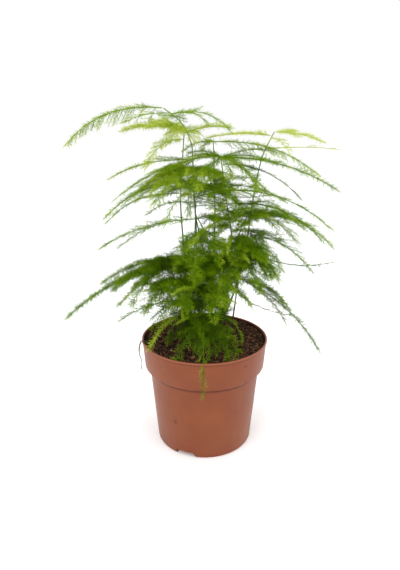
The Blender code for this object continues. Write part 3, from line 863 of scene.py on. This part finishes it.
class Spray:
    """Collects the sprigs and the wiry midribs of one frond."""

    def __init__(self, seed):
        self.spin = random.Random(seed)
        self.places, self.shades, self.ribs = [], [], []

    def sprig(self, origin, way, stretch, brush, shade):
        """One sprig along the strand, rolled about it at random."""
        side = unit(np.cross(UP, way))
        lift = np.cross(way, side)
        roll = self.spin.uniform(0, math.tau)
        first = side * math.cos(roll) + lift * math.sin(roll)
        place = np.eye(4)
        place[:3, 0] = way * stretch
        place[:3, 1] = first * brush
        place[:3, 2] = np.cross(way, first) * brush
        place[:3, 3] = origin
        self.places.append(place)
        self.shades.append(shade)

    def strand(self, origin, way, along, length, shade, habit, order, size=1.0):
        """A strand that leans towards the midrib's own way and sinks a little. Its needles close
        up towards the tip, which ends in bare wire; it carries shorter strands of its own."""
        point, way = np.array(origin), unit(way)
        run, side, line = 0.0, self.spin.choice((1, -1)), [np.array(origin)]
        sway = self.spin.gauss(0, habit["sway"])
        next_twig = length * 0.15
        while run < length:
            share = run / length
            stretch = size * (1.0 - 0.2 * share)
            step = SPRIG_LENGTH * stretch * SPRIG_OVERLAP
            level = unit(np.cross(UP, way))
            way = unit(way + along * habit["lean"] + level * sway
                       - UP * (habit["droop"] * (share - habit["lift"])))
            brush = habit["brush"] * size * (1.0 - 0.5 * share ** 2)
            for _ in range(int(habit["cover"] + self.spin.random())):
                self.sprig(point, way, stretch, brush, shade + 0.16 * share + self.spin.gauss(0, 0.03))
            if order and run > next_twig and share < 0.86:
                out = level * side + UP * self.spin.gauss(0, 0.3)
                reach = (length - run) * self.spin.uniform(0.30, 0.55)
                self.strand(point, way * 0.8 + out * 0.62, way, min(reach, LONGEST_TWIG),
                            shade + self.spin.gauss(0, 0.04), habit, order - 1, size * 0.86)
                side = -side
                next_twig = run + habit["twigs"] * self.spin.uniform(0.8, 1.3)
            point = point + way * step
            if in_pot_wall(point):
                break
            if math.hypot(point[0], point[1]) < rim_inside and point[2] < MIX_HIGH.z + ABOVE_MIX:
                point[2] = MIX_HIGH.z + ABOVE_MIX
                way = unit(way * np.array([1.0, 1.0, 0.0]) + UP * 0.15)
            line.append(point)
            run += step
        if len(line) < 2:
            return
        if not in_pot_wall(point):
            line.append(point + way * 0.07 * length)
        self.ribs.append((line, 0.14 * MM + 0.006 * length, 0.09 * MM))

    def frond(self, line, habit, reach, arms):
        """A midrib with side strands, the longest a quarter of the way out, and with side
        fronds, which are turned and shortened likenesses of it."""
        fine = smooth_line(line, 1.0 * MM)
        total = len(fine) * MM
        self.ribs.append((fine[::4], 0.2 * MM + 0.003 * total, 0.19 * MM))
        for at in range(len(fine) // 8, len(fine) - 3, 4) if habit["coat"] else ():
            share = at / len(fine)
            for _ in range(int(habit["coat"] + self.spin.random())):
                self.sprig(fine[at], unit(fine[at + 2] - fine[at]), 0.9,
                           habit["furred"] * (1.0 - 0.5 * share ** 2),
                           habit["coat_shade"] + 0.14 * share + self.spin.gauss(0, 0.03))
        run, side = 0.04 * total, self.spin.choice((1, -1))
        while run < total * 0.985:
            share = run / total
            at = min(len(fine) - 3, int(run / MM))
            ahead = unit(fine[at + 2] - fine[max(0, at - 2)])
            level = unit(np.cross(UP, ahead))
            form = min(1.0, 0.55 + 1.8 * share) * (1.0 - habit["taper"] * share)
            angle = math.radians(habit["angle"] * (1.0 - 0.45 * share) + self.spin.gauss(0, 6))
            length = max(5 * MM, reach * form) * self.spin.uniform(0.75, 1.15)
            out = unit(level * side + UP * self.spin.gauss(habit["tilt"], 0.16))
            hang = habit["hang"] if self.spin.random() < habit["hanging"] else 0.0
            way = ahead * math.cos(angle) + out * math.sin(angle) - UP * hang
            shade = habit["shade"] + 0.15 * (share - 0.45) + self.spin.gauss(0, 0.09)
            self.strand(fine[at], way, ahead, length, shade, habit,
                        habit["orders"] if length > TWIGS_FROM_LENGTH else 0)
            side = -side
            run += habit["spacing"] / 2 * self.spin.uniform(0.75, 1.25) * (1.15 - 0.4 * share)
        tip = unit(fine[-1] - fine[-4])
        self.strand(fine[-1], tip, tip, habit["tip"], habit["shade"] + 0.12, habit, 0, habit["tail"])
        for share, turn, ratio, rise in arms:
            start = fine[int(share * (len(fine) - 1))]
            likeness = np.array([Matrix.Rotation(math.radians(turn), 3, "Z") @ Vector(p)
                                 for p in (line - line[0]) * ratio])
            likeness[:, 2] += np.linalg.norm(likeness[:, :2], axis=1) * math.tan(math.radians(rise))
            own = {"hang": 0.1 * habit["hang"], "coat": habit["arm_coat"] * habit["coat"]}
            self.frond(likeness + start, {**habit, **own}, reach * min(1.0, 0.25 + ratio), [])


# How the strands of a frond grow, unless its row says otherwise: angles in degrees, shades from 0
# (deep green) to 1 (pale yellow-green), coat and cover as sprigs at each place.
HABIT = {"shade": 0.5, "spacing": 8 * MM, "angle": 46, "lean": 0.07, "droop": 0.08, "lift": 0.35,
         "hang": 0.0, "tilt": 0.05, "sway": 0.05, "cover": 1.0, "twigs": 6.5 * MM, "orders": 1,
         "tip": 4 * MM, "brush": 0.9, "tail": 0.7, "coat": 0, "coat_shade": 0.6, "furred": 0.8,
         "hanging": 1.0, "taper": 0.8, "arm_coat": 0.6}
# Side fronds: where on the midrib each starts, its turn, its size against the frond and its rise.
PAIR = [(0.02, 30, 0.6, 4), (0.05, -32, 0.62, -2)]
FAN = [(0.0, 27, 0.72, 3), (0.0, -29, 0.7, -2), (0.12, 52, 0.5, 4), (0.1, -55, 0.48, 2)]
RING = FAN + [(0.0, 88, 0.6, 6), (0.0, -90, 0.62, 0), (0.04, 128, 0.5, 5), (0.05, -131, 0.55, 3)]
CROWN = [(0.0, 30, 0.7, 2), (0.0, 70, 0.7, -10), (0.0, 100, 0.6, -16), (0.0, -60, 0.6, 4)]
LOW_RING = [(0.0, 62, 0.75, -26), (0.0, -66, 0.7, -18), (0.0, 108, 0.65, -12)]
# Part of a frond's name: reach of its side strands in mm, its side fronds, what is its own in habit.
# The low shades of the back, skirt and core fronds are partly painted shade.
GROWTH = [
    ("leader_arch", 16, [],
     {"shade": 0.74, "hang": 2.2, "hanging": 0.6, "angle": 22, "orders": 0, "spacing": 4 * MM,
      "brush": 0.7, "coat": 1.6, "coat_shade": 0.66, "furred": 0.7, "tip": 2 * MM}),
    ("top_left", 14, [], {"shade": 0.68, "spacing": 9 * MM, "brush": 0.6}),
    ("top_", 17, PAIR[:1], {"shade": 0.68, "spacing": 9 * MM, "brush": 0.6}),
    ("crest_front", 18, [], {"shade": 0.88, "spacing": 5 * MM, "brush": 0.8}),
    ("crest_right", 18, [], {"shade": 0.88, "spacing": 5 * MM, "brush": 0.75, "droop": 0.34}),
    ("crest_", 26, CROWN, {"shade": 0.88, "spacing": 5 * MM, "brush": 0.75, "droop": 0.34}),
    ("pale_front", 9, [], {"shade": 1.0, "spacing": 8 * MM, "brush": 0.6}),
    ("pale_left", 11, PAIR[:1], {"shade": 1.0, "spacing": 5 * MM, "brush": 0.55, "droop": 0.26,
                                 "taper": 0.95}),
    ("pale_", 15, PAIR[:1], {"shade": 1.0, "spacing": 5 * MM, "brush": 0.65, "droop": 0.26}),
    ("right_runner", 6, [], {"shade": 0.40, "spacing": 13 * MM, "orders": 0, "brush": 0.5,
                             "coat": 0.8, "coat_shade": 0.35, "furred": 0.4}),
    ("runner", 6, [], {"shade": 0.9, "spacing": 12 * MM, "orders": 0, "brush": 0.4}),
    ("long_right", 13, [(0.0, 170, 0.3, 4), (0.0, 120, 0.35, 4)],
     {"shade": 0.70, "hang": 1.0, "hanging": 0.5, "angle": 32, "orders": 0, "brush": 0.7,
      "spacing": 5 * MM, "coat": 1, "coat_shade": 0.55, "furred": 0.6}),
    ("dark_thin", 10, [], {"shade": 0.30, "spacing": 12 * MM, "angle": 24, "brush": 0.45}),
    ("dark_right", 15, [(0.0, 80, 0.5, 2), (0.0, 140, 0.55, 6), (0.0, -70, 0.5, 0), (0.0, 30, 0.5, 8),
                        (0.0, -100, 0.5, -10), (0.0, -150, 0.5, 3), (0.0, -125, 0.45, -22),
                        (0.02, -40, 0.45, -12), (0.0, 0, 0.4, -24), (0.0, 170, 0.35, 12),
                        (0.0, 20, 0.45, 20), (0.0, 150, 0.4, 18)],
     {"shade": 0.55, "angle": 34, "brush": 0.8, "spacing": 6 * MM}),
    ("broad_front", 32, RING, {"shade": 0.64, "brush": 0.85, "droop": 0.14}),
    ("broad_left_lower", 15, [], {"shade": 0.56, "angle": 34, "brush": 0.75}),
    ("broad_left_upper", 22, [(0.0, 12, 0.95, -15), (0.0, 24, 0.85, -19), (0.0, 3, 0.7, -22)],
     {"shade": 0.66, "angle": 30, "brush": 0.7, "droop": 0.12, "taper": 0.9}),
    ("broad_left_middle", 24, PAIR + [(0.0, 62, 0.45, -18), (0.0, 100, 0.42, -12)],
     {"shade": 0.58, "angle": 34, "brush": 0.8, "droop": 0.12}),
    ("arching", 9, RING[4:6], {"shade": 0.56, "angle": 30, "brush": 0.65, "taper": 0.9}),
    ("low_left_over", 3, [], {"shade": 0.80, "spacing": 9 * MM, "angle": 30, "orders": 0,
                              "tip": 2 * MM, "coat": 2.6, "coat_shade": 0.72, "furred": 0.62}),
    ("lower_front", 22, FAN[:3], {"shade": 0.46, "spacing": 7 * MM, "brush": 1.0, "tip": 10 * MM,
                                   "coat": 1.6, "coat_shade": 0.54, "furred": 0.75, "arm_coat": 0}),
    ("lower_left", 18, [(0.0, 170, 0.5, 8), (0.0, -131, 0.5, 6), (0.3, 12, 0.5, -8)],
     {"shade": 0.48, "brush": 0.85}),
    ("skirt_left", 28, RING[1:] + [(0.0, -10, 0.7, 10), (0.0, 6, 0.55, -10)],
     {"shade": 0.46, "brush": 1.05, "cover": 1.7, "taper": 0.92, "coat": 1.0,
      "coat_shade": 0.34, "furred": 0.95}),
    ("skirt", 26, RING[2:], {"shade": 0.38, "brush": 1.05, "cover": 1.6}),
    ("low_left_side", 15, [(0.0, 108, 0.7, -8), (0.0, -120, 0.6, 8), (0.0, 24, 0.55, -20),
                           (0.0, -20, 0.5, -26)],
     {"shade": 0.38, "brush": 0.9}),
    ("core_arch", 14, LOW_RING, {"shade": 0.52, "spacing": 6 * MM, "brush": 1.1, "cover": 1.5,
                                 "tip": 6 * MM, "coat": 3.0, "coat_shade": 0.66, "arm_coat": 0}),
    ("core_right", 26, RING[2:5] + [(0.0, 20, 0.8, -16), (0.0, -8, 0.75, -30), (0.0, 38, 0.7, -26)],
     {"shade": 0.44, "brush": 1.1, "cover": 1.6, "droop": 0.16, "coat": 2.2, "coat_shade": 0.56,
      "arm_coat": 0.4}),
    ("core_front_left", 24, [(0.1, 50, 0.7, 6), (0.1, 25, 0.8, -12), (0.0, -70, 0.5, -4),
                             (0.0, 100, 0.7, 0), (0.0, 160, 0.6, -8)],
     {"shade": 0.42, "brush": 1.1, "cover": 1.5, "spacing": 7 * MM, "droop": 0.16,
      "coat": 2.2, "coat_shade": 0.58}),
    ("core_front", 24, [(0.1, -50, 0.7, 4), (0.1, 48, 0.6, 8), (0.0, -90, 0.75, 0),
                        (0.0, -20, 0.8, -16), (0.2, -75, 0.7, -10), (0.0, -140, 0.6, -6)],
     {"shade": 0.42, "brush": 1.0, "cover": 1.5, "spacing": 7 * MM, "droop": 0.12,
      "coat": 1.8, "coat_shade": 0.54}),
    ("front_over_rim", 4, RING[4:], {"shade": 0.45, "spacing": 9 * MM, "angle": 30, "orders": 0,
                                     "brush": 0.55}),
    ("front_right", 22, [(0.0, 27, 0.85, 3), (0.0, 52, 0.75, 2), (0.0, -29, 0.75, -2),
                         (0.0, 80, 0.6, 5), (0.0, -58, 0.65, 0)],
     {"shade": 0.38, "spacing": 15 * MM, "brush": 0.9, "orders": 0, "coat": 1.6, "coat_shade": 0.36}),
    ("front", 20, [(0.0, 30, 0.75, 4), (0.0, 60, 0.75, 0), (0.0, 95, 0.6, 4), (0.0, -40, 0.5, 2)],
     {"shade": 0.38, "spacing": 15 * MM, "brush": 0.9, "orders": 0, "coat": 1.6,
      "coat_shade": 0.36}),
    ("right_drooping", 15, [(0.0, 14, 0.60, 13), (0.0, -12, 0.60, 5), (0.0, 3, 0.5, 21),
                            (0.05, 26, 0.5, 9)],
     {"shade": 0.42, "spacing": 10 * MM, "brush": 0.9, "coat": 1.3, "coat_shade": 0.30,
      "furred": 1.25}),
    ("right_trailing", 8, [], {"shade": 0.42, "spacing": 12 * MM, "orders": 0, "brush": 0.5}),
    ("right_upper", 14, RING[4:], {"shade": 0.48, "brush": 0.85}),
    ("right_lower", 22, RING[2:5] + [(0.0, 0, 0.55, -24), (0.0, -20, 0.6, -30)],
     {"shade": 0.46, "brush": 0.85}),
    ("right_", 26, RING, {"shade": 0.53, "brush": 0.85, "droop": 0.14}),
    ("inner", 10, RING[5:], {"shade": 0.48, "brush": 0.75}),
    ("back_left", 10, RING[6:], {"shade": 0.38, "brush": 0.75}),
    ("back_low_left", 22, RING[4:], {"shade": 0.34, "brush": 0.9}),
    ("back", 32, RING, {"shade": 0.36, "brush": 0.9}),
]
GREENS = [(0.0, "#1C3200"), (0.3, "#4A6C00"), (0.5, "#6A9204"), (0.68, "#96BA12"),
          (0.85, "#C4D93E"), (1.0, "#E2EC70")]
# Living cladodes: a soft matt skin, lighter at its tip and darkened where a needle leaves the
# strand, which is painted shade; a shaded old sprig is deep green, partly as painted shade, and a
# fresh one yellow-green.
FOLIAGE = {slot: tinted(slot + "_cladodes", 0.6, GREENS, specular=0.08, darker_base=0.22)
           for slot in ("young_foliage", "grown_foliage", "dark_foliage")}
slot_of = {s["node"]: s["material_slot"] for s in frame["record"]["subparts"]}


def midribs(name, ribs, shade):
    """Thin tapering wires along the strands, with the UV map of the foliage."""
    wires = tubes(name, [(line, [thick + (thin - thick) * i / max(1, len(line) - 1)
                                 for i in range(len(line))]) for line, thick, thin in ribs], 1.0, 0)
    while wires.data.uv_layers:
        wires.data.uv_layers.remove(wires.data.uv_layers[0])
    layer = wires.data.uv_layers.new(name="OFBake")
    for k, item in enumerate(layer.data):
        item.uv = (0.02 + 0.03 * (k % 2), shade + 0.01 * (k // 2 % 2))
    return wires


def clothed(name, spray, wire_shade, finish):
    """The sprigs of a spray in a random choice of forms, joined to the wires they sit on."""
    chosen = np.array([spray.spin.randrange(SPRIG_FORMS) for _ in spray.places])
    made = gathered(name, SPRIGS, chosen, np.array(spray.places), np.array(spray.shades))
    wires = midribs(name + "_wires", spray.ribs, wire_shade)
    pick(made, wires)
    bpy.ops.object.join()
    dress(made, finish)
    return made


for number, name in enumerate(sorted(n for n in frame["nodes"] if n.startswith("frond_"))):
    _, reach, arms, own = next(row for row in GROWTH if row[0] in name)
    habit = {**HABIT, **own}
    line = blade_line(name)
    spray = Spray(1000 + number)
    spray.frond(line, habit, reach * MM, arms)
    foliage = clothed(name + "_spray", spray, habit["shade"] - 0.12, FOLIAGE[slot_of[name]])
    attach(foliage, "root")
    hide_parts(name)

# ---- Inner shoots ---------------------------------------------------------------------------------
# Short old shoots crowd every stem low down, deep green and thickly furred in the shade of the
# fronds; that deep green is partly painted shade. Higher up they are sparse, finer and lighter.
SHOOT_STEP = 2
SHOOTS_AT_A_POINT = 2
BARE_FOOT = 8 * MM
BARE_FOOT_MIDDLE = 30 * MM
BARE_FOOT_RIGHT = 44 * MM
OPEN_RIGHT_TO = 60 * MM
CROWDED_TO = 95 * MM
SHOOTS_TO = 158 * MM
SHOOTS_TO_ON_CLEAR_STEMS = 82 * MM
CLEAR_STEMS = ("left", "leader", "crossing", "slender", "back_tall")
SHOOT_WIRE_SHADE = 0.2
for number, name in enumerate(STEM_NAMES):
    spray = Spray(3000 + number)
    open_foot = BARE_FOOT_RIGHT if "right" in name or "back" in name else BARE_FOOT
    if "slanting" in name or "middle" in name:
        open_foot = BARE_FOOT_MIDDLE
    clear = any(part in name for part in CLEAR_STEMS)
    shoots_to = SHOOTS_TO_ON_CLEAR_STEMS if clear else SHOOTS_TO
    for point in stem_lines[name][::SHOOT_STEP]:
        above = point[2] - MIX_HIGH.z
        if not open_foot < above < shoots_to:
            continue
        crowded = above < CROWDED_TO
        for _ in range(SHOOTS_AT_A_POINT):
            heading = spray.spin.uniform(0, math.tau)
            if above < OPEN_RIGHT_TO and math.cos(heading) > 0.3 and "low" not in name:
                continue
            way = np.array([math.cos(heading), math.sin(heading), spray.spin.uniform(-0.45, 0.35)])
            habit = {**HABIT, "droop": 0.22, "cover": 1.6 if crowded else 1.0,
                     "brush": 1.15 if crowded else 0.85}
            length = spray.spin.uniform(14, 34) * MM
            # Painted shade in part: the crowded low shoots get the darkest greens.
            shade = spray.spin.uniform(0.02, 0.32) if crowded else spray.spin.uniform(0.40, 0.62)
            spray.strand(point, unit(way), unit(way), length, shade, habit, 1)
    if not spray.places:
        continue
    shoots = clothed(name + "_shoots", spray, SHOOT_WIRE_SHADE, FOLIAGE["dark_foliage"])
    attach(shoots, "root")

# ---- Young strands --------------------------------------------------------------------------------
# New strands still closed up like a fox's tail, light green, that arch out over the dark middle:
# each has its stem, its share of the way up it, its heading, rise, length and droop.
YOUNG = [
    ("stem_slanting", 0.70, 234, -14, 58, 0.16),
    ("stem_slanting", 0.60, 262, -4, 40, 0.20),
    ("stem_right", 0.62, 300, 6, 34, 0.26),
    ("stem_low_left", 0.62, 336, 30, 58, 0.26),
    ("stem_low_front", 0.90, 232, 20, 46, 0.30),
    ("stem_low_left", 0.95, 282, -34, 36, 0.14),
    ("stem_low_left", 0.80, 205, 12, 34, 0.18),
    ("stem_low_front", 0.60, 214, -8, 28, 0.16),
    ("stem_low_front", 0.80, 320, 10, 34, 0.24),
    ("stem_slanting", 0.50, 288, 4, 38, 0.22)]
YOUNG_SHADE = 0.64
YOUNG_WIRE_SHADE = 0.5
spray = Spray(4000)
for host, share, heading, rise, length, droop in YOUNG:
    path = stem_lines[host]
    heading, rise = math.radians(heading), math.radians(rise)
    way = np.array([math.cos(heading), math.sin(heading), math.tan(rise)])
    habit = {**HABIT, "droop": droop, "lift": 0.25, "cover": 4.2, "brush": 0.62, "lean": 0.0,
             "sway": 0.0}
    spray.strand(path[int(share * (len(path) - 1))], way, unit(way), length * MM, YOUNG_SHADE,
                 habit, 0)
young = clothed("young_strands", spray, YOUNG_WIRE_SHADE, FOLIAGE["young_foliage"])
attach(young, "root")

# ---- Dry strands ----------------------------------------------------------------------------------
# Two shed strands, dried grey-brown and as thin as thread, lie over the left rim and hang outside.
DRY_RADIUS = 0.45 * MM
DRY_TIP_RADIUS = 0.3 * MM
DRY_STRANDS = [
    [(-52, -14, 104), (-56, -16, 105.4), (-58.8, -17, 105.8), (-60.4, -18, 103), (-61, -19, 95),
     (-59, -19.5, 87), (-59.8, -20, 79)],
    [(-54, -12, 103.6), (-57.5, -13, 105.4), (-59.6, -13.5, 105.6), (-61, -14, 102.4),
     (-62, -15, 97), (-61.2, -16, 91)]]
dry = midribs("dry_strands", [(smooth_line(np.array(points) * MM, 1.5 * MM), DRY_RADIUS, DRY_TIP_RADIUS)
                              for points in DRY_STRANDS], 0.5)
# Dried strand: a dead skin with no wax left, dull and grey-brown.
dress(dry, tinted("dried_strand", 0.8, [(0.0, "#3A2E22"), (1.0, "#6A5C48")]))
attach(dry, "root")

# ---- Floor, light and camera ----------------------------------------------------------------------
# A plain white floor and soft light from all round, as in a product picture.
rest_selection()
bpy.ops.mesh.primitive_plane_add(size=40.0)
floor = bpy.context.object
floor.name = "floor"
paper, paper_shader = new_material("white_sweep", 0.9, specular=0.1)
paper_shader.inputs["Base Color"].default_value = (1.0, 1.0, 1.0, 1.0)
# Painted light: the floor glows faintly, to fade the shadow under the pot.
paper_shader.inputs["Emission Color"].default_value = (1.0, 1.0, 1.0, 1.0)
paper_shader.inputs["Emission Strength"].default_value = 0.1
floor.data.materials.append(paper)

world = bpy.data.worlds.new("studio")
bpy.context.scene.world = world
world.use_nodes = True
world.node_tree.nodes["Background"].inputs["Color"].default_value = (1.0, 1.0, 1.0, 1.0)
world.node_tree.nodes["Background"].inputs["Strength"].default_value = 1.0


def soft_light(name, place, aim, size, power):
    """A square soft light of a size in metres and a power in watts, aimed at a point."""
    light = bpy.data.lights.new(name, "AREA")
    light.shape = "SQUARE"
    light.size = size
    light.energy = power
    lamp = bpy.data.objects.new(name, light)
    lamp.location = place
    lamp.rotation_euler = (Vector(aim) - Vector(place)).to_track_quat("-Z", "Y").to_euler()
    bpy.context.scene.collection.objects.link(lamp)


MID_PLANT = (0, 0, 0.18)
soft_light("key_softbox", (-0.8, -1.1, 1.5), MID_PLANT, 0.9, 8)
soft_light("fill_softbox", (1.1, -0.7, 1.0), MID_PLANT, 0.9, 3)
soft_light("top_softbox", (0.1, 0.0, 1.8), (0, 0, 0.1), 1.4, 6)

LENS = 29.32
CAMERA_PLACE = (-0.0043, -0.4143, 0.2870)
LOOKS_DOWN_DEGREES = 17.51
camera_data = bpy.data.cameras.new("camera")
camera = bpy.data.objects.new("camera", camera_data)
bpy.context.scene.collection.objects.link(camera)
camera_data.lens = LENS
camera_data.clip_start = 0.01
camera.location = CAMERA_PLACE
camera.rotation_euler = (math.radians(90 - LOOKS_DOWN_DEGREES), 0.0, 0.0)
bpy.context.scene.camera = camera
bpy.context.scene.view_settings.view_transform = "Standard"
